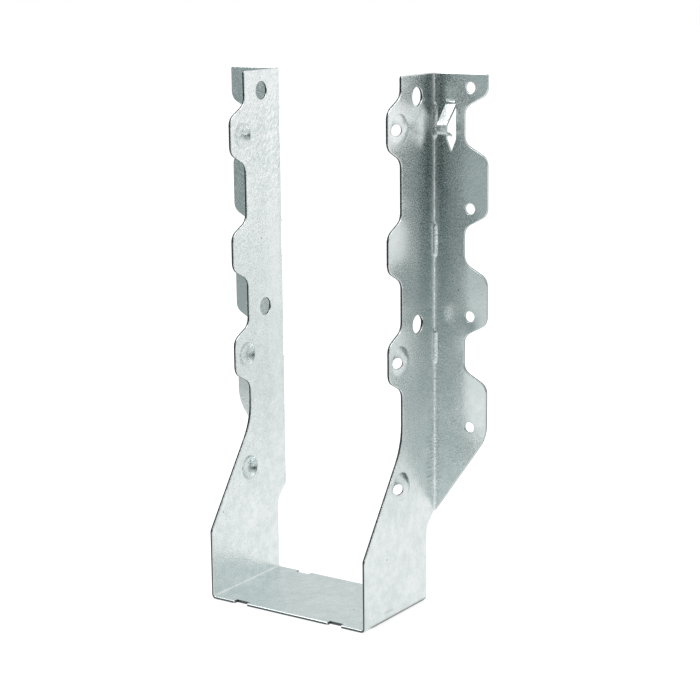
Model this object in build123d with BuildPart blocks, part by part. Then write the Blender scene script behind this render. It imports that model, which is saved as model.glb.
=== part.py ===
from build123d import *
import os
from math import cos, radians, sin, sqrt, tan

# A face mount joist hanger: one sheet of galvanised steel, cut to its outline and folded into a
# stirrup, with a nailing flange on each side. Sizes are in millimetres.
# X runs across the joist, +Y points at the header and +Z is up. The hanger stands on its seat.
# The origin is on the floor below the middle of the box that holds the whole part.

# The sheet and the inside radii of its folds
sheet = 1.3
seat_fold = 0.8
flange_fold = 1.2

# The space for the joist, and the outside
joist_width = 79.4
height = 231.0
depth = 57.4
flange_width = 27.0

# The side plate's outline: setbacks from the header, and heights above the floor.
# What lies higher up is measured down from the top edge, as "below top".
neck_setback = 27.0
lobe_setback = 37.4
heel_setback = 8.0
neck_below_top = 155.7
shoulder_height = 31.5
heel_height = 34.0
neck_rounding = 28.0
shoulder_rounding = 3.0
heel_rounding = 8.0

# The flange's slanted lower edge: where it leaves the fold, and where it meets the outer edge
foot_height = 41.4
toe_below_top = 154.8
toe_rounding = 18.0

# The lobes on the plate's front edge lie level with the hollows in the flange's outer edge,
# because the next blank on the strip is cut along the same line
lobes_below_top = [21.5, 72.2, 118.8]
lobe_length = 20.8
lobe_slope = 28.0
lobe_rounding = 5.2
hollow_depth = 11.2
top_rounding = 1.0

# How much lower the left side's pattern sits, so that crossing nails miss one another,
# and the smaller drop of its lowest dome and nail hole, which the slanted edges leave room for
stagger = 6.0
low_stagger = 3.2

# Domes on the side plates, each with a slanting nail hole in its front slope
dome_setback = 28.9
dome_base = 6.3
dome_rise = 3.0
dome_rim = 7.6
low_dome_below_top = 173.7
nail_hole = 4.7
nail_angle = 50.0
nail_hole_forward = 4.5

# Header nail holes in the flanges, and plain round holes in the side plates
header_holes_below_top = [5.8, 56.4, 102.6]
low_header_hole_below_top = 151.2
header_hole_offset = 18.6
side_hole = 8.0
side_hole_setback = 14.8
side_holes_below_top = [9.0, 105.2]

# The prong that is cut from each flange, ramps forwards, and turns its point to the header
prong_offset = 9.3
prong_below_top = 12.7
prong_slot_width = 4.9
prong_slot_length = 20.6
prong_point_length = 5.9
prong_gap = 0.1
prong_reach = 7.4
prong_ramp = 8.6
prong_nose = 3.0
prong_sag = 1.7
prong_bend = 1.3
prong_nose_bend = 3.6

# Beads pressed into the flange fold, a little above the middles of the lobes, which stiffen it
bead_length = 18.0
bead_rise = 1.7
bead_radius = 3.2
bead_inset = 1.35

# Notches in the seat's edges, where the blank was parted from its strip
notch_width = 7.0
notch_depth = 2.4
notch_spacing = 50.0

# Places that follow from the sizes
header = depth / 2
front = -depth / 2
plate_inside = joist_width / 2
plate_outside = plate_inside + sheet
flange_edge = plate_inside + flange_width
flange_front = header - sheet
fold_reach = sheet + flange_fold
seat_arm = 2 * (sheet + seat_fold)
dome_radius = (dome_base ** 2 + dome_rise ** 2) / (2 * dome_rise)


def lobe_corners(low, high, rise_run, lobes):
    """Corners of the lobes on an edge, from the top down, from a low line to a high line."""
    corners = []
    for middle in lobes:
        top = middle + lobe_length / 2
        bottom = middle - lobe_length / 2
        corners.append((low, top + rise_run))
        corners.append((high, top - rise_run))
        corners.append((high, bottom + rise_run))
        corners.append((low, bottom - rise_run))
    return corners


def plate_outline(lobes):
    """The outline of a side plate above its fold with the seat, seen from the side."""
    run = tan(radians(lobe_slope)) * (lobe_setback - neck_setback) / 2
    lobe_points = lobe_corners(header - neck_setback, header - lobe_setback, run, lobes)
    heel = header - heel_setback
    FilletPolyline(
        (front, seat_arm),
        (heel, seat_arm),
        (heel, heel_height),
        (header, foot_height),
        (header, height),
        (header - neck_setback, height),
        *lobe_points,
        (header - neck_setback, height - neck_below_top),
        (front, shoulder_height),
        radius=[0, 0, heel_rounding, 0, 0, top_rounding]
        + [lobe_rounding] * len(lobe_points)
        + [neck_rounding, shoulder_rounding],
        close=True,
    )


def flange_outline(lobes):
    """The outline of a flange, seen from the front, outwards from the end of its fold."""
    run = tan(radians(lobe_slope)) * hollow_depth / 2
    hollow_points = lobe_corners(flange_edge, flange_edge - hollow_depth, run, lobes)
    inner = plate_inside + fold_reach
    FilletPolyline(
        (inner, foot_height),
        (inner, height),
        (flange_edge, height),
        *hollow_points,
        (flange_edge, height - toe_below_top),
        radius=[0, 0, top_rounding] + [lobe_rounding] * len(hollow_points) + [toe_rounding],
        close=True,
    )


def capsule(radius, length):
    """A round bar with ball ends, standing on Z, with its middle at the origin."""
    with BuildPart() as bar:
        Cylinder(radius=radius, height=length)
        with Locations((0, 0, length / 2), (0, 0, -length / 2)):
            Sphere(radius=radius)
    return bar.part


def dome():
    """A dome with its flat rim, rising along +X from the outer face of the sheet at the origin."""
    inner_radius = dome_radius - sheet
    ball = dome_rise - dome_radius
    inner_base = sqrt(inner_radius ** 2 - (sheet + ball) ** 2)
    with BuildPart() as pressing:
        with BuildSketch(Plane.XY):
            with BuildLine():
                RadiusArc((dome_rise, 0), (0, dome_base), -dome_radius)
                Line((0, dome_base), (0, dome_rim))
                Line((0, dome_rim), (-sheet, dome_rim))
                Line((-sheet, dome_rim), (-sheet, inner_base))
                RadiusArc((-sheet, inner_base), (dome_rise - sheet, 0), inner_radius)
                Line((dome_rise - sheet, 0), (dome_rise, 0))
            make_face()
        revolve(axis=Axis.X)
    return pressing.part


def side(drop, low_drop):
    """A side plate with its flange, made for the +X side, with its pattern lower by drop."""
    top = height - drop
    low_top = height - low_drop
    lobes = [top - z for z in lobes_below_top]
    dome_heights = [lobes[0], lobes[2], low_top - low_dome_below_top]
    header_holes = [top - z for z in header_holes_below_top] + [low_top - low_header_hole_below_top]

    with BuildPart() as outline:
        with BuildSketch(Plane.YZ.offset(plate_inside)):
            with BuildLine():
                plate_outline(lobes)
            make_face()
        extrude(amount=fold_reach)
        with BuildSketch(Plane.XZ.offset(-header)):
            with BuildLine():
                flange_outline(lobes)
            make_face()
        extrude(amount=fold_reach)

    with BuildPart() as bead:
        with Locations((-bead_inset, bead_inset, 0)):
            add(capsule(bead_radius, bead_length - 2 * bead_radius))
        with Locations((-sheet / 2, sheet / 2, 0)):
            Box(
                2 * bead_radius,
                2 * bead_radius,
                bead_length,
                align=(Align.MIN, Align.MAX, Align.CENTER),
                mode=Mode.INTERSECT,
            )

    with BuildPart() as wall:
        # The folded sheet, as tall as the hanger, trimmed to the outline of the blank
        with BuildSketch(Plane.XY.offset(seat_arm)):
            with BuildLine():
                FilletPolyline(
                    (plate_inside, front),
                    (plate_outside, front),
                    (plate_outside, flange_front),
                    (flange_edge, flange_front),
                    (flange_edge, header),
                    (plate_inside, header),
                    radius=[0, 0, flange_fold, 0, 0, flange_fold + sheet],
                    close=True,
                )
            make_face()
        extrude(amount=height - seat_arm)
        add(outline.part, mode=Mode.INTERSECT)

        # Beads in the fold
        bead_places = [(plate_outside, flange_front, z + bead_rise) for z in lobes]
        with Locations(bead_places):
            add(bead.part)
        with Locations([(x - bead_inset, y + bead_inset, z) for x, y, z in bead_places]):
            Cylinder(bead_radius - sheet, bead_length - 2 * sheet, mode=Mode.SUBTRACT)

        # Domes, pressed out from the inside
        dome_y = header - dome_setback
        with BuildSketch(Plane.YZ.offset(plate_inside)):
            with Locations([(dome_y, z) for z in dome_heights]):
                Circle(dome_rim)
        extrude(amount=sheet, mode=Mode.SUBTRACT)
        with Locations([(plate_outside, dome_y, z) for z in dome_heights]):
            add(dome())

        # The slanting nail hole in the front slope of each dome
        lift = sqrt(dome_radius ** 2 - nail_hole_forward ** 2) + dome_rise - dome_radius
        nail_direction = (sin(radians(nail_angle)), -cos(radians(nail_angle)), 0)
        for z in dome_heights:
            mouth = (plate_outside + lift, dome_y - nail_hole_forward, z)
            with BuildSketch(Plane(origin=mouth, z_dir=nail_direction)):
                Circle(nail_hole / 2)
            extrude(amount=2 * dome_rise, both=True, mode=Mode.SUBTRACT)

        # Plain round holes in the side plate
        with BuildSketch(Plane.YZ.offset(plate_inside)):
            with Locations([(header - side_hole_setback, height - z) for z in side_holes_below_top]):
                Circle(side_hole / 2)
        extrude(amount=sheet, mode=Mode.SUBTRACT)

        # Header nail holes, and the slot that the prong is cut from
        prong_x = plate_inside + prong_offset
        prong_top = top - prong_below_top
        half_slot = prong_slot_width / 2
        point_top = prong_top - prong_slot_length + prong_point_length
        with BuildSketch(Plane.XZ.offset(-header)):
            with Locations([(plate_inside + header_hole_offset, z) for z in header_holes]):
                Circle(nail_hole / 2)
            with BuildLine():
                Polyline(
                    (prong_x - half_slot, prong_top),
                    (prong_x + half_slot, prong_top),
                    (prong_x + half_slot, point_top),
                    (prong_x, prong_top - prong_slot_length),
                    (prong_x - half_slot, point_top),
                    close=True,
                )
            make_face()
        extrude(amount=sheet, mode=Mode.SUBTRACT)

        # The prong: a strip that leaves the slot's top edge, and its point
        middle = header - sheet / 2
        nose_y = header - sheet - prong_reach
        nose_top = prong_top - prong_ramp
        nose_bottom = nose_top - prong_nose
        with BuildSketch(Plane.YZ.offset(prong_x)):
            with BuildLine():
                FilletPolyline(
                    (middle, prong_top + sheet),
                    (middle, prong_top),
                    (nose_y, nose_top),
                    (nose_y, nose_bottom),
                    (header, nose_bottom - prong_sag),
                    radius=[prong_bend, prong_nose_bend, prong_bend],
                )
            trace(line_width=sheet)
        extrude(amount=half_slot - prong_gap, both=True)
        tip_y = header - prong_gap
        with BuildSketch(Plane.XY.offset(nose_top)):
            with BuildLine():
                Polyline(
                    (prong_x - half_slot, tip_y - prong_point_length),
                    (prong_x, tip_y),
                    (prong_x + half_slot, tip_y - prong_point_length),
                    (prong_x + half_slot, header + sheet),
                    (prong_x - half_slot, header + sheet),
                    close=True,
                )
            make_face()
        extrude(amount=-(prong_nose + prong_sag + sheet), mode=Mode.SUBTRACT)

    return wall.part


right_side = side(0, 0)
left_side = mirror(side(stagger, low_stagger), about=Plane.YZ)

with BuildPart() as joist_hanger:
    # The seat, with the folds and the low edges of both side plates
    with BuildSketch(Plane.XZ.offset(-(header - heel_setback))):
        with BuildLine():
            FilletPolyline(
                (-plate_outside, seat_arm),
                (-plate_outside, 0),
                (plate_outside, 0),
                (plate_outside, seat_arm),
                (plate_inside, seat_arm),
                (plate_inside, sheet),
                (-plate_inside, sheet),
                (-plate_inside, seat_arm),
                radius=[0, seat_fold + sheet, seat_fold + sheet, 0, 0, seat_fold, seat_fold, 0],
                close=True,
            )
        make_face()
    extrude(amount=depth - heel_setback)

    # Notches in its front and back edges
    seat_ends = [front, header - heel_setback]
    with Locations([(x, y, 0) for x in (-notch_spacing / 2, notch_spacing / 2) for y in seat_ends]):
        Box(notch_width, 2 * notch_depth, 2 * sheet, mode=Mode.SUBTRACT)

    add(right_side)
    add(left_side)

os.makedirs("parts", exist_ok=True)
joist_hanger.part.label = "joist_hanger"
export_step(joist_hanger.part, "parts/joist_hanger.step")
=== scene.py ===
from math import cos, radians, sin

import bmesh
import bpy
from mathutils import Matrix, Vector
from mathutils.bvhtree import BVHTree
from mathutils.kdtree import KDTree


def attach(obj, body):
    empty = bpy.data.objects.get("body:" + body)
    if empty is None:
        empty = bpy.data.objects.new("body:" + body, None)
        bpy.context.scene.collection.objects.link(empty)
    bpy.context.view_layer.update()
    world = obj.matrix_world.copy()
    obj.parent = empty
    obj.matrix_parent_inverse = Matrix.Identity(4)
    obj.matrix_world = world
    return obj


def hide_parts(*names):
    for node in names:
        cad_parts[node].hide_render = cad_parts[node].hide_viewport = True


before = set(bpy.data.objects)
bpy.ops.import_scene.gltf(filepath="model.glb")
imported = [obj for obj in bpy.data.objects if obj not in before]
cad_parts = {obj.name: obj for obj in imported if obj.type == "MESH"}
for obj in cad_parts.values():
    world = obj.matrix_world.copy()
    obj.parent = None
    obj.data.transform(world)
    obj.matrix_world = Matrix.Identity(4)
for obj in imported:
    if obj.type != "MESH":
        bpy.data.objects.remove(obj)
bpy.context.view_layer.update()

# Sizes are in metres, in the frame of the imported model: X across the joist, +Y to the header, Z up.
# Two numbers under one name are a span, over which something comes or goes.
# Four numbers are a fade: where it starts and ends, and its value at each. A colour's fourth number is 1.

# The camera: where it stands, the way it looks, and its lens
camera_place = (0.44501, -0.63276, 0.27880)
camera_azimuth = 34.18
camera_elevation = 12.14
camera_roll = -0.59
camera_lens = 93.98
sensor_width = 36.0

# The sheet, how far its edges are rounded by shearing, and how near a bad spot they stay sharp
sheet = 0.0013
edge_rounding = 0.00028
edge_clearance = 0.0006

# Two faces meet in a crease above the first angle, and lie in one plane below the second
crease_angle = 28.0
flat_angle = 1.0

# Points nearer than this are joined as one
weld_distance = 1e-6

# How far the rounding may lift a point off the sheet, or sink it in, before the spot counts as bad
lift_allowed = 0.00003
sink_allowed = 0.00013

# A cut edge is a strip: its area is less than this share of its rim times the sheet
cut_share = 0.62

# The outside of the side plates, the front of the flanges, and the back edge of the seat
fold_x = 0.041
fold_y = 0.0274
seat_back = 0.0207

# Spans in X through a side plate, in Y through a flange, and in Y just in front of a flange
through_plate = (0.0403, 0.0407)
through_flange = (0.0275, 0.0285)
before_flange = (0.026, 0.027)

# The shallow groove that the bend of each prong leaves in its flange, which is lower on the left
prong_x = 0.0490
groove_z = 0.2195
groove_half_height = 0.0008
groove_half_width = (0.0020, 0.0026)
left_drop = 0.006

# The painted shade in each groove, a dark line below its middle: how far below, and how dark it is
groove_shade_drop = 0.0009
groove_shade_dark = (0.0, 0.6, 0.0, 0.9)

# Dark dashes along the bend under each plate: their line, its middle, their reach, and where they break
dash_height = 0.0038
dash_slope = -0.064
dash_middle = -0.004
dash_half_height = (0.0002, 0.0008)
dash_half_length = (0.012, 0.016)
dash_breaks = (0.42, 0.66)

# Hairlines low down beside each fold: their middle, their reach, its ragged side, and their stretch
hairline_y = 0.0231
hairline_z = 0.0625
hairline_half_depth = (0.0014, 0.0036)
hairline_half_height = (0.009, 0.018)
hairline_ragged = (0.3, 0.7, -0.001, 0.001)
hairline_stretch = 14.0

# The smoother outer half of each flange: where it starts, its foot, and how much wider it is low down
rim_start = (0.054, 0.059)
rim_foot = (0.072, 0.084)
rim_widening = (0.11, 0.14, 0.002, 0.0)

# The painted shade along the upper part of each fold, a duller band: on the plate, on the flange, and its
# foot
fold_shade_on_plate = (fold_y - 0.010, fold_y - 0.006)
fold_shade_on_flange = (fold_x + 0.002, fold_x + 0.005)
fold_shade_foot = (0.165, 0.19)

# The painted light on a front strip at the top of each plate: its back, and its foot
lit_strip_back = (-0.004, 0.012)
lit_strip_foot = (0.158, 0.175)

# The brighter rubbed zone beside each fold of a flange, by the distance from the fold
burnish_start = (0.0018, 0.0030)
burnish_end = (0.006, 0.015)

# Small dark specks in the zinc: their places on the sheet, and how dark they are by the distance
specks = (
    (0.0529, 0.0274, 0.1396),
    (-0.0397, 0.0118, 0.1569),
    (-0.0397, -0.0204, 0.0382),
    (0.0410, -0.0115, 0.0279),
    (0.0223, -0.0093, 0.0013),
)
speck_dark = (0.0002, 0.0005, 0.8, 0.0)

# How fine each pattern in the metal is, in waves a metre
cloud_waves = 90.0
dash_waves = 110.0
mottle_waves = 260.0
ragged_waves = 700.0
grain_waves = 1300.0
cut_waves = 1400.0
hairline_waves = 1500.0
stroke_waves = 1700.0
crystal_waves = 2000.0

# How the strokes slant on the sheet before folding, how they are stretched, and where they are strong
stroke_turn = (0, -45, 0)
stroke_stretch = (5.0, 5.0, 1.0)
strokes_by_height = (0.16, 0.195, 0.12, 1.0)
strokes_by_x = (-0.02, 0.02, 1.0, 0.25)

# What makes the zinc lighter and darker: clouds, height (darker towards the bottom, and painted light
# towards the top), mottling, and a darker foot to the rim
clouds_to_tone = (0.3, 0.7, 0.27, 0.53)
tone_and_light_by_height = ((0.03, 0.13, -0.15, 0.0), (0.150, 0.200, 0.0, 0.12), (0.208, 0.222, 0.0, 0.5))
mottles_by_height = (0.06, 0.14, 0.45, 0.1)
dark_rim_top = (0.12, 0.16)

# How much each pattern adds to the tone
strokes_in_tone = 1.1
grain_in_tone = 0.13
# The painted light on the front strip
lit_strip_in_tone = 0.4
rim_in_tone = -0.3

# How dark the dark dashes, the hairlines, and the painted shade along the fold are
dash_dark = 0.3
hairline_dark = 0.3
fold_shade_dark = 0.26

# How matt the zinc is: with height, on the rim, where it is burnished or stroked, and its crystals
matt_by_height = (0.03, 0.09, -0.16, 0.0)
rim_by_height = (0.12, 0.16, -0.26, -0.12)
burnish_in_matt = -0.12
strokes_in_matt = 0.08
crystals_to_roughness = (0.44, 0.56, 0.16, 0.54)

# The relief: how high it is, how the grain fades with height and to the rim, and what else adds to it
sheet_relief = 0.00005
grain_by_height = (0.09, 0.16, 2.0, 1.0)
grain_by_rim = (0.0, 1.0, 1.0, 0.25)
strokes_in_relief = 0.9
hairlines_in_relief = 1.8
groove_in_relief = -9.0

# The cuts: the height of their relief, and their painted highlight: which face sideways to get it, how it
# grows with height, and how it fades from low down
cut_relief = 0.00008
highlight_facing = (0.5, 0.9)
highlight_by_height = (0.12, 0.19, 0.3, 1.0)
low_highlight = (0.002, 0.045, 0.13, 0.0)

# Colours of the zinc, of marks and painted shade in it, and of the sheared steel with its painted highlight
dull_zinc = (0.70, 0.765, 0.76, 1)
bright_zinc = (0.96, 0.99, 0.985, 1)
mark_and_shade_grey = (0.08, 0.10, 0.10, 1)
dark_steel = (0.01, 0.013, 0.013, 1)
dull_steel = (0.06, 0.075, 0.075, 1)
# The painted highlight on the sheared steel
bright_steel = (0.60, 0.65, 0.65, 1)

# Directions over the floor: to the right of the camera, and towards it
to_right = (0.83, 0.56, 0)
to_front = (0.56, -0.83, 0)

# The floor: half its width, how far below the hanger it lies, its colour, and its glow to the camera
floor_reach = 6.0
floor_drop = 0.0002
floor_grey = (0.4, 0.4, 0.4, 1)
floor_glow = 0.8

# The floor's shade in the metal under and beside the seat, by the distance from it
seat_shade = (-0.001, 0.003, 0.15, 1.0)
under_seat = (0.02, 0.025, 0.025, 1)

# How bright the floor is in the metal: from near to far in front, and from left to right
near_to_far = (0.0, 1.5)
floor_ahead = ((0.0, 1.0), (0.1, 0.80), (0.22, 0.68), (0.33, 0.49), (0.48, 0.24), (0.63, 0.14), (0.93, 0.11))
left_to_right = (-1.0, 1.0)
floor_across = (
    (0.0, 0.38), (0.05, 0.34), (0.085, 0.62), (0.13, 0.66), (0.22, 0.65), (0.277, 0.92),
    (0.335, 0.97), (0.385, 1.0), (0.56, 1.0), (0.7, 0.86), (1.0, 1.0),
)

# Its dimmer corner to the left: how far round it reaches, how far to the left, and its grey
corner_round = (0.25, 0.39, 0.5, 0.0)
corner_left = (-0.38, -0.25)
corner_level = 0.2

# Its lane to the front: where it starts to widen, and its left and right sides
lane_start = 0.3
lane_left = (-0.8, -0.3)
lane_right = (0.15, 0.45)

# The studio in the metal: from left to right, its dim front, and its bright top
studio_across = ((0.0, 0.35), (0.25, 0.44), (0.5, 0.72), (0.8, 0.82), (1.0, 0.82))
studio_front = (0.35, 0.85)
studio_front_level = 0.08
studio_top = (0.3, 0.8)
studio_top_level = 0.9

# The power by which the red of a grey dims faster than its green and blue
red_power = 1.17

# The soft light overhead: its place, what it points at, its width and its power
light_place = (-0.4, -0.3, 1.4)
light_target = (0, 0, 0.1)
light_width = 1.2
light_power = 14.0


def node(tree, kind, **inputs):
    """A new shader node, with values set on its sockets by name."""
    made = tree.nodes.new(kind)
    for name, value in inputs.items():
        made.inputs[name].default_value = value
    return made


def feed(tree, socket, value):
    """Gives a socket a value, or links another socket to it."""
    if isinstance(value, bpy.types.NodeSocket):
        tree.links.new(value, socket)
    else:
        socket.default_value = value


def mix_colours(tree, factor, first, second, blend="MIX"):
    """Two colours or colour sockets, mixed by a factor."""
    made = tree.nodes.new("ShaderNodeMix")
    made.data_type = "RGBA"
    made.blend_type = blend
    feed(tree, made.inputs[0], factor)
    feed(tree, made.inputs[6], first)
    feed(tree, made.inputs[7], second)
    return made.outputs[2]


def ranged(tree, value, low, high, to_low, to_high):
    """A value brought from one range to another, clamped at its ends."""
    made = tree.nodes.new("ShaderNodeMapRange")
    tree.links.new(value, made.inputs["Value"])
    made.inputs["From Min"].default_value = low
    made.inputs["From Max"].default_value = high
    made.inputs["To Min"].default_value = to_low
    made.inputs["To Max"].default_value = to_high
    return made.outputs["Result"]


def rising(tree, value, low, high):
    """0 up to the low value, and 1 from the high value on."""
    return ranged(tree, value, low, high, 0, 1)


def falling(tree, value, low, high):
    """1 up to the low value, and 0 from the high value on."""
    return ranged(tree, value, low, high, 1, 0)


def swinging(tree, value, half):
    """A noise brought to between -0.5 and 0.5, from that far to each side of its middle."""
    return ranged(tree, value, 0.5 - half, 0.5 + half, -0.5, 0.5)


def noise(tree, place, waves, detail=2.0, roughness=0.5):
    """A noise at that many waves a metre, read at a place."""
    made = node(tree, "ShaderNodeTexNoise", Scale=waves, Detail=detail, Roughness=roughness)
    tree.links.new(place, made.inputs["Vector"])
    return made.outputs["Fac"]


def stretched(tree, place, turn, scale):
    """A place in turned axes, to stretch what is read there by a scale along each of them."""
    made = tree.nodes.new("ShaderNodeMapping")
    made.vector_type = "TEXTURE"
    made.inputs["Rotation"].default_value = [radians(angle) for angle in turn]
    made.inputs["Scale"].default_value = scale
    tree.links.new(place, made.inputs["Vector"])
    return made.outputs["Vector"]


def new_material(name):
    """A node material with its tree, its surface shader and the place on the object."""
    material = bpy.data.materials.new(name)
    material.use_nodes = True
    tree = material.node_tree
    shader = tree.nodes["Principled BSDF"]
    place = tree.nodes.new("ShaderNodeTexCoord").outputs["Object"]
    return material, tree, shader, place


def bumped(tree, shader, height, distance):
    """Raises the surface by a height, over a distance in metres."""
    bump = node(tree, "ShaderNodeBump", Strength=1.0, Distance=distance)
    tree.links.new(height, bump.inputs["Height"])
    tree.links.new(bump.outputs["Normal"], shader.inputs["Normal"])


def maths(tree, operation, *values):
    """The result of an operation on values or value sockets."""
    made = tree.nodes.new("ShaderNodeMath")
    made.operation = operation
    for socket, value in zip(made.inputs, values):
        feed(tree, socket, value)
    return made.outputs[0]


def added(tree, first, second, weight=1.0):
    """The first value plus the second times a weight."""
    return maths(tree, "MULTIPLY_ADD", second, weight, first)


def times(tree, first, *others):
    """The product of a value and others."""
    product = first
    for value in others:
        product = maths(tree, "MULTIPLY", product, value)
    return product


def apart(tree, first, second):
    """How far two values are apart."""
    return maths(tree, "ABSOLUTE", maths(tree, "SUBTRACT", first, second))


def across(tree, place, axis):
    """How far a place or direction lies along an axis."""
    made = tree.nodes.new("ShaderNodeVectorMath")
    made.operation = "DOT_PRODUCT"
    made.inputs[1].default_value = axis
    tree.links.new(place, made.inputs[0])
    return made.outputs["Value"]


def unfolded(tree, place):
    """The place on the sheet before folding: along the blank, across it, and up; and X from the middle."""
    axes = tree.nodes.new("ShaderNodeSeparateXYZ")
    tree.links.new(place, axes.inputs[0])
    outwards = maths(tree, "ABSOLUTE", axes.outputs["X"])
    flat = tree.nodes.new("ShaderNodeCombineXYZ")
    tree.links.new(maths(tree, "ADD", axes.outputs["Y"], outwards), flat.inputs["X"])
    tree.links.new(maths(tree, "SUBTRACT", axes.outputs["Y"], outwards), flat.inputs["Y"])
    tree.links.new(axes.outputs["Z"], flat.inputs["Z"])
    return flat.outputs[0], outwards, axes.outputs["Y"], axes.outputs["Z"]


def outside(tree, outwards):
    """1 on the outer faces of the side plates and beyond, and 0 on their inner faces."""
    return rising(tree, outwards, *through_plate)


def bend_dashes(tree, place, outwards, forwards, height):
    """A broken dark line outside, along the bend under each side plate."""
    line = maths(tree, "MULTIPLY_ADD", forwards, dash_slope, dash_height)
    thin = falling(tree, apart(tree, height, line), *dash_half_height)
    near = falling(tree, apart(tree, forwards, dash_middle), *dash_half_length)
    broken = rising(tree, noise(tree, place, dash_waves, detail=1.0), *dash_breaks)
    return times(tree, thin, near, broken, outside(tree, outwards))


def hairlines(tree, place, outwards, forwards, height):
    """Level hairlines where the folding tool pressed, low down beside the fold: from -0.5 to 0.5."""
    long_place = stretched(tree, place, (0, 0, 0), (1.0, hairline_stretch, 1.0))
    lines = swinging(tree, noise(tree, long_place, hairline_waves, detail=0.0), 0.15)
    ragged = ranged(tree, noise(tree, place, ragged_waves, detail=1.0), *hairline_ragged)
    aside = added(tree, apart(tree, forwards, hairline_y), ragged)
    beside = falling(tree, aside, *hairline_half_depth)
    level = falling(tree, apart(tree, height, hairline_z), *hairline_half_height)
    return times(tree, lines, beside, level, outside(tree, outwards))


def prong_groove(tree, place, outwards, forwards, height, drop):
    """The shallow groove across the flange above its prong, or, that far below its middle, the line of
    painted shade in it.
    """
    left = maths(tree, "LESS_THAN", across(tree, place, (1, 0, 0)), 0.0)
    raised = maths(tree, "MULTIPLY_ADD", left, left_drop, height)
    deep = falling(tree, apart(tree, raised, groove_z - drop), 0.0, groove_half_height)
    wide = falling(tree, apart(tree, outwards, prong_x), *groove_half_width)
    return times(tree, deep, wide, rising(tree, forwards, *before_flange))


def rim_of_flange(tree, outwards, height):
    """How far out a place is on the smoother outer half of the flange, above its slanting foot."""
    wider = ranged(tree, height, *rim_widening)
    outer = rising(tree, added(tree, outwards, wider), *rim_start)
    return times(tree, outer, rising(tree, height, *rim_foot))


def fold_painted_shade(tree, outwards, forwards, height):
    """Painted shade outside: a duller band along the upper part of the fold between plate and flange."""
    plate = rising(tree, forwards, *fold_shade_on_plate)
    flange = falling(tree, outwards, *fold_shade_on_flange)
    front = falling(tree, forwards, *through_flange)
    upper = rising(tree, height, *fold_shade_foot)
    return times(tree, plate, flange, front, upper, outside(tree, outwards))


def zinc_tone(tree, place, outwards, forwards, height, strokes, grain):
    """How light the zinc is: clouded, stroked, mottled low down, darker towards the bottom, and with painted
    light towards the top and on a front strip at the top of each plate.
    """
    tone = ranged(tree, noise(tree, place, cloud_waves, detail=3.0, roughness=0.6), *clouds_to_tone)
    tone = added(tree, tone, strokes, strokes_in_tone)
    tone = added(tree, tone, swinging(tree, grain, 0.2), grain_in_tone)
    # Darker towards the bottom, and painted light towards the top
    for fade in tone_and_light_by_height:
        tone = added(tree, tone, ranged(tree, height, *fade))
    mottles = swinging(tree, noise(tree, place, mottle_waves, roughness=0.6), 0.2)
    tone = added(tree, tone, times(tree, mottles, ranged(tree, height, *mottles_by_height)))
    # Painted light on the front strip at the top of each plate
    lit_strip = times(tree, falling(tree, forwards, *lit_strip_back), rising(tree, height, *lit_strip_foot))
    tone = added(tree, tone, lit_strip, lit_strip_in_tone)
    dark_rim = times(tree, rim_of_flange(tree, outwards, height), falling(tree, height, *dark_rim_top))
    return added(tree, tone, dark_rim, rim_in_tone)


def marks_and_painted_shade(tree, place, outwards, forwards, height, lines):
    """Dark dashes, the dips of the hairlines, the painted shade along the fold and in the groove over each
    prong, and specks.
    """
    marks_and_shade = times(tree, bend_dashes(tree, place, outwards, forwards, height), dash_dark)
    marks_and_shade = maths(tree, "MAXIMUM", marks_and_shade, times(tree, lines, -hairline_dark))
    # Painted shade along the upper part of each fold
    marks_and_shade = added(tree, marks_and_shade, fold_painted_shade(tree, outwards, forwards, height), fold_shade_dark)
    # Painted shade: a dark line in the groove above each prong
    groove_shade = prong_groove(tree, place, outwards, forwards, height, groove_shade_drop)
    marks_and_shade = maths(tree, "MAXIMUM", marks_and_shade, ranged(tree, groove_shade, *groove_shade_dark))
    for spot in specks:
        away = tree.nodes.new("ShaderNodeVectorMath")
        away.operation = "DISTANCE"
        away.inputs[1].default_value = spot
        tree.links.new(place, away.inputs[0])
        marks_and_shade = maths(tree, "MAXIMUM", marks_and_shade, ranged(tree, away.outputs["Value"], *speck_dark))
    return marks_and_shade


def zinc_roughness(tree, place, outwards, forwards, height, strokes):
    """Bright and matt crystals: brighter low down, beside the flange's fold and towards its outer edge."""
    beyond = maths(tree, "SUBTRACT", outwards, fold_x)
    before = maths(tree, "SUBTRACT", fold_y, forwards)
    from_fold = maths(tree, "MAXIMUM", beyond, before)
    burnish = times(tree, rising(tree, from_fold, *burnish_start), falling(tree, from_fold, *burnish_end))
    matt = added(tree, ranged(tree, height, *matt_by_height), burnish, burnish_in_matt)
    smooth = times(tree, rim_of_flange(tree, outwards, height), ranged(tree, height, *rim_by_height))
    matt = added(tree, added(tree, matt, smooth), strokes, strokes_in_matt)
    crystals = noise(tree, place, crystal_waves, detail=1.0)
    return ranged(tree, added(tree, crystals, matt), *crystals_to_roughness)


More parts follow.
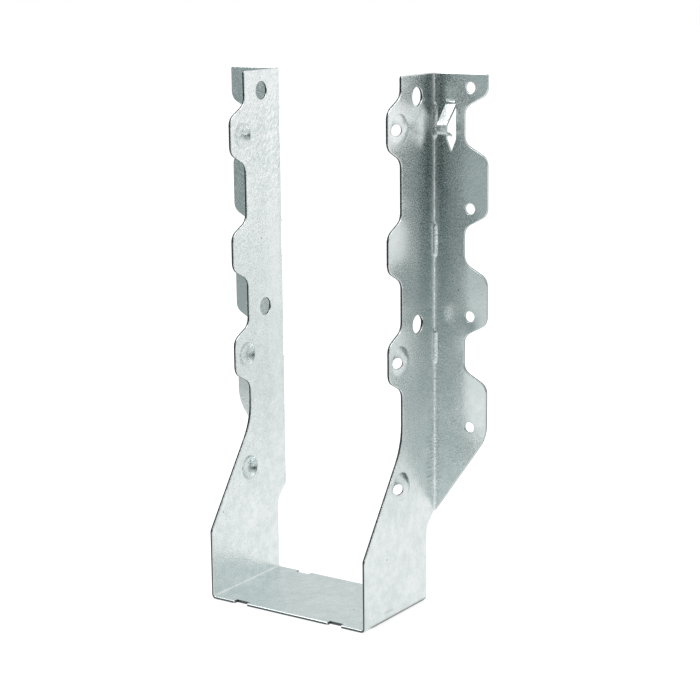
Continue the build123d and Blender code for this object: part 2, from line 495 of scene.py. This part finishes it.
def galvanised():
    """Hot-dip galvanised sheet, with slanting strokes that run on round the folds."""
    material, tree, shader, place = new_material("galvanised_sheet")
    blank, outwards, forwards, height = unfolded(tree, place)
    grain = noise(tree, place, grain_waves, roughness=0.6)
    slanted = noise(tree, stretched(tree, blank, stroke_turn, stroke_stretch), stroke_waves, detail=0.5)
    upwards = ranged(tree, height, *strokes_by_height)
    leftwards = ranged(tree, across(tree, place, (1, 0, 0)), *strokes_by_x)
    strokes = times(tree, swinging(tree, slanted, 0.1), upwards, leftwards)
    lines = hairlines(tree, place, outwards, forwards, height)

    tone = zinc_tone(tree, place, outwards, forwards, height, strokes, grain)
    marks_and_shade = marks_and_painted_shade(tree, place, outwards, forwards, height, lines)
    zinc = mix_colours(tree, tone, dull_zinc, bright_zinc)
    # Marks and painted shade darken the zinc towards one grey
    tree.links.new(mix_colours(tree, marks_and_shade, zinc, mark_and_shade_grey), shader.inputs["Base Color"])
    shader.inputs["Metallic"].default_value = 1.0
    roughness = zinc_roughness(tree, place, outwards, forwards, height, strokes)
    tree.links.new(roughness, shader.inputs["Roughness"])

    smooth = ranged(tree, rim_of_flange(tree, outwards, height), *grain_by_rim)
    relief = times(tree, grain, ranged(tree, height, *grain_by_height), smooth)
    relief = added(tree, relief, strokes, strokes_in_relief)
    relief = added(tree, relief, lines, hairlines_in_relief)
    groove = prong_groove(tree, place, outwards, forwards, height, 0.0)
    bumped(tree, shader, added(tree, relief, groove, groove_in_relief), sheet_relief)
    return material


def cut_edge():
    """The sheared edge: dark dull steel, with a painted highlight low down and on the cuts that face
    sideways, growing with height.
    """
    material, tree, shader, place = new_material("sheared_edge")
    grain = noise(tree, place, cut_waves, detail=3.0, roughness=0.7)
    dull = mix_colours(tree, rising(tree, grain, 0.3, 0.7), dark_steel, dull_steel)
    height = across(tree, place, (0, 0, 1))
    facing = tree.nodes.new("ShaderNodeTexCoord").outputs["Normal"]
    sideways_highlight = maths(tree, "ABSOLUTE", across(tree, facing, (1, 0, 0)))
    sideways_highlight = times(tree, rising(tree, sideways_highlight, *highlight_facing), ranged(tree, height, *highlight_by_height))
    # Painted highlight on the sideways cuts and low down
    bright = maths(tree, "MAXIMUM", sideways_highlight, ranged(tree, height, *low_highlight))
    tree.links.new(mix_colours(tree, bright, dull, bright_steel), shader.inputs["Base Color"])
    shader.inputs["Metallic"].default_value = 0.9
    shader.inputs["Roughness"].default_value = 0.45
    bumped(tree, shader, grain, cut_relief)
    return material


def welded_copy(cad):
    """A bmesh of a CAD node, with its doubled points joined and its flat faces whole."""
    mesh = bmesh.new()
    mesh.from_mesh(cad.data)
    bmesh.ops.remove_doubles(mesh, verts=mesh.verts, dist=weld_distance)
    bmesh.ops.dissolve_limit(mesh, angle_limit=radians(flat_angle), verts=mesh.verts, edges=mesh.edges)
    return mesh


def patches(mesh):
    """The mesh's faces in groups that no crease crosses."""
    limit = radians(crease_angle)
    left = set(mesh.faces)
    groups = []
    while left:
        open_faces = [left.pop()]
        group = []
        while open_faces:
            face = open_faces.pop()
            group.append(face)
            for edge in face.edges:
                if len(edge.link_faces) == 2 and edge.calc_face_angle() < limit:
                    for other in edge.link_faces:
                        if other in left:
                            left.discard(other)
                            open_faces.append(other)
        groups.append(group)
    return groups


def is_cut(group):
    """Whether a group of faces is a cut edge: a strip about as wide as the sheet is thick."""
    area = sum(face.calc_area() for face in group)
    members = set(group)
    rim = 0.0
    for face in group:
        for edge in face.edges:
            if any(other not in members for other in edge.link_faces):
                rim += edge.calc_length()
    return area < cut_share * rim * sheet


def round_creases(mesh, away_from):
    """Rounds the creases of the mesh, except where they come near the given places."""
    places = KDTree(max(1, len(away_from)))
    for index, place in enumerate(away_from):
        places.insert(place, index)
    places.balance()
    creases = []
    for edge in mesh.edges:
        if len(edge.link_faces) == 2 and edge.calc_face_angle() > radians(crease_angle):
            first, second = edge.verts[0].co, edge.verts[1].co
            steps = [first.lerp(second, quarter / 4) for quarter in range(5)]
            if not any(places.find_range(step, edge_clearance) for step in steps):
                creases.append(edge)
    bmesh.ops.bevel(
        mesh,
        geom=creases,
        offset=edge_rounding,
        segments=3,
        profile=0.5,
        affect="EDGES",
        clamp_overlap=False,
        material=0,
    )


def thrown_places(mesh, surface):
    """Places where the rounding has thrown a point off the surface of the sheet."""
    thrown = []
    for point in mesh.verts:
        place, normal, _, distance = surface.find_nearest(point.co)
        lifted = (point.co - place).dot(normal) > 0
        if distance > (lift_allowed if lifted else sink_allowed):
            thrown.append(point.co.copy())
    return thrown


def dressed_sheet(cad, skin, edge):
    """The hanger with rounded sheared edges, in place of its CAD node."""
    mesh = welded_copy(cad)
    for group in patches(mesh):
        slot = 1 if is_cut(group) else 0
        for face in group:
            face.material_index = slot
    trial = mesh.copy()
    round_creases(trial, [])
    thrown = thrown_places(trial, BVHTree.FromBMesh(mesh))
    trial.free()
    round_creases(mesh, thrown)
    for face in mesh.faces:
        face.smooth = True
    data = bpy.data.meshes.new("folded_sheet")
    mesh.to_mesh(data)
    mesh.free()
    data.set_sharp_from_angle(angle=radians(crease_angle))
    made = bpy.data.objects.new("folded_sheet", data)
    bpy.context.scene.collection.objects.link(made)
    flat_normals = made.modifiers.new("flat_normals", "WEIGHTED_NORMAL")
    flat_normals.keep_sharp = True
    flat_normals.weight = 100
    data.materials.append(skin)
    data.materials.append(edge)
    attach(made, "root")
    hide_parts(cad.name)


def grey(level):
    """A grey that turns a little blue-green as it dims."""
    return (level ** red_power, level, level, 1)


def ramp(tree, value, stops):
    """Grey levels along a value, from places and levels in turn."""
    made = tree.nodes.new("ShaderNodeValToRGB")
    tree.links.new(value, made.inputs["Fac"])
    elements = made.color_ramp.elements
    while len(elements) < len(stops):
        elements.new(0.5)
    for element, (place, level) in zip(elements, stops):
        element.position = place
        element.color = grey(level)
    return made.outputs["Color"]


def emission(tree, colour, strength):
    """A shader that shines in a colour or colour socket."""
    made = node(tree, "ShaderNodeEmission", Strength=strength)
    feed(tree, made.inputs["Color"], colour)
    return made.outputs["Emission"]


def mix_shaders(tree, factor, first, second):
    """Two shaders, mixed by a factor."""
    made = tree.nodes.new("ShaderNodeMixShader")
    for socket, value in zip(made.inputs, (factor, first, second)):
        tree.links.new(value, socket)
    return made.outputs[0]


def shade_at_seat(tree, place):
    """Dark under the seat and close beside it, where little light comes in, and light further off."""
    beside = maths(tree, "ABSOLUTE", across(tree, place, (1, 0, 0)))
    before = maths(tree, "ABSOLUTE", across(tree, place, (0, 1, 0)))
    beside = maths(tree, "SUBTRACT", beside, fold_x)
    before = maths(tree, "SUBTRACT", before, seat_back)
    return ranged(tree, maths(tree, "MAXIMUM", beside, before), *seat_shade)


def floor_as_mirrored(tree, place):
    """The floor as the metal shows it: bright behind and to the right, and dim in front and to the left."""
    forward = across(tree, place, to_front)
    side = across(tree, place, to_right)
    level = ramp(tree, rising(tree, side, *left_to_right), floor_across)
    leftwards = maths(tree, "DIVIDE", forward, times(tree, side, -1.0))
    corner = times(tree, ranged(tree, leftwards, *corner_round), falling(tree, side, *corner_left))
    level = mix_colours(tree, corner, level, grey(corner_level))
    front = ramp(tree, rising(tree, forward, *near_to_far), floor_ahead)
    turned = maths(tree, "DIVIDE", side, maths(tree, "MAXIMUM", forward, lane_start))
    lane = times(tree, rising(tree, turned, *lane_left), falling(tree, turned, *lane_right))
    level = mix_colours(tree, lane, level, mix_colours(tree, 1.0, level, front, "MULTIPLY"))
    return mix_colours(tree, shade_at_seat(tree, place), under_seat, level)


def make_floor():
    """A pale floor: white to the camera with the object's shadow, and shaded in the metal."""
    bpy.ops.mesh.primitive_plane_add(size=2 * floor_reach, location=(0, 0, -floor_drop))
    floor = bpy.context.object
    floor.name = "floor"
    material, tree, shader, place = new_material("pale_floor")
    shader.inputs["Base Color"].default_value = floor_grey
    shader.inputs["Roughness"].default_value = 1.0
    shader.inputs["Specular IOR Level"].default_value = 0.0
    lit = tree.nodes.new("ShaderNodeAddShader")
    tree.links.new(shader.outputs[0], lit.inputs[0])
    tree.links.new(emission(tree, (1, 1, 1, 1), floor_glow), lit.inputs[1])
    rays = tree.nodes.new("ShaderNodeLightPath")
    seen = mix_shaders(tree, rays.outputs["Is Camera Ray"], shader.outputs[0], lit.outputs[0])
    reflected = emission(tree, floor_as_mirrored(tree, place), 1.0)
    surface = mix_shaders(tree, rays.outputs["Is Glossy Ray"], seen, reflected)
    tree.links.new(surface, tree.nodes["Material Output"].inputs["Surface"])
    floor.data.materials.append(material)


def make_world():
    """White to the camera, and a studio that is bright above and to the right, and dim in front."""
    world = bpy.data.worlds.new("studio")
    bpy.context.scene.world = world
    world.use_nodes = True
    tree = world.node_tree
    back = tree.nodes["Background"]
    place = tree.nodes.new("ShaderNodeTexCoord").outputs["Generated"]
    level = ramp(tree, rising(tree, across(tree, place, to_right), *left_to_right), studio_across)
    front = rising(tree, across(tree, place, to_front), *studio_front)
    level = mix_colours(tree, front, level, grey(studio_front_level))
    top = rising(tree, across(tree, place, (0, 0, 1)), *studio_top)
    level = mix_colours(tree, top, level, grey(studio_top_level))
    seen = tree.nodes.new("ShaderNodeLightPath").outputs["Is Camera Ray"]
    tree.links.new(mix_colours(tree, seen, level, (1, 1, 1, 1)), back.inputs["Color"])


def make_light():
    """A large square soft light overhead, turned to its target."""
    lamp = bpy.data.lights.new("overhead", "AREA")
    lamp.energy = light_power
    lamp.size = light_width
    made = bpy.data.objects.new("overhead", lamp)
    made.location = light_place
    to_target = Vector(light_target) - Vector(light_place)
    made.rotation_euler = to_target.to_track_quat("-Z", "Y").to_euler()
    bpy.context.scene.collection.objects.link(made)


def make_camera():
    """The camera at the photograph's angle."""
    azimuth = radians(camera_azimuth)
    elevation = radians(camera_elevation)
    back = Vector((sin(azimuth) * cos(elevation), -cos(azimuth) * cos(elevation), sin(elevation)))
    right = Vector((cos(azimuth), sin(azimuth), 0))
    frame_axes = Matrix((right, back.cross(right), back)).transposed()
    turn = frame_axes @ Matrix.Rotation(radians(camera_roll), 3, "Z")
    data = bpy.data.cameras.new("camera")
    data.lens = camera_lens
    data.sensor_width = sensor_width
    camera = bpy.data.objects.new("camera", data)
    camera.matrix_world = Matrix.Translation(camera_place) @ turn.to_4x4()
    bpy.context.scene.collection.objects.link(camera)
    bpy.context.scene.camera = camera


dressed_sheet(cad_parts["joist_hanger"], galvanised(), cut_edge())
make_floor()
make_world()
make_light()
make_camera()

scene = bpy.context.scene
scene.view_settings.view_transform = "Standard"
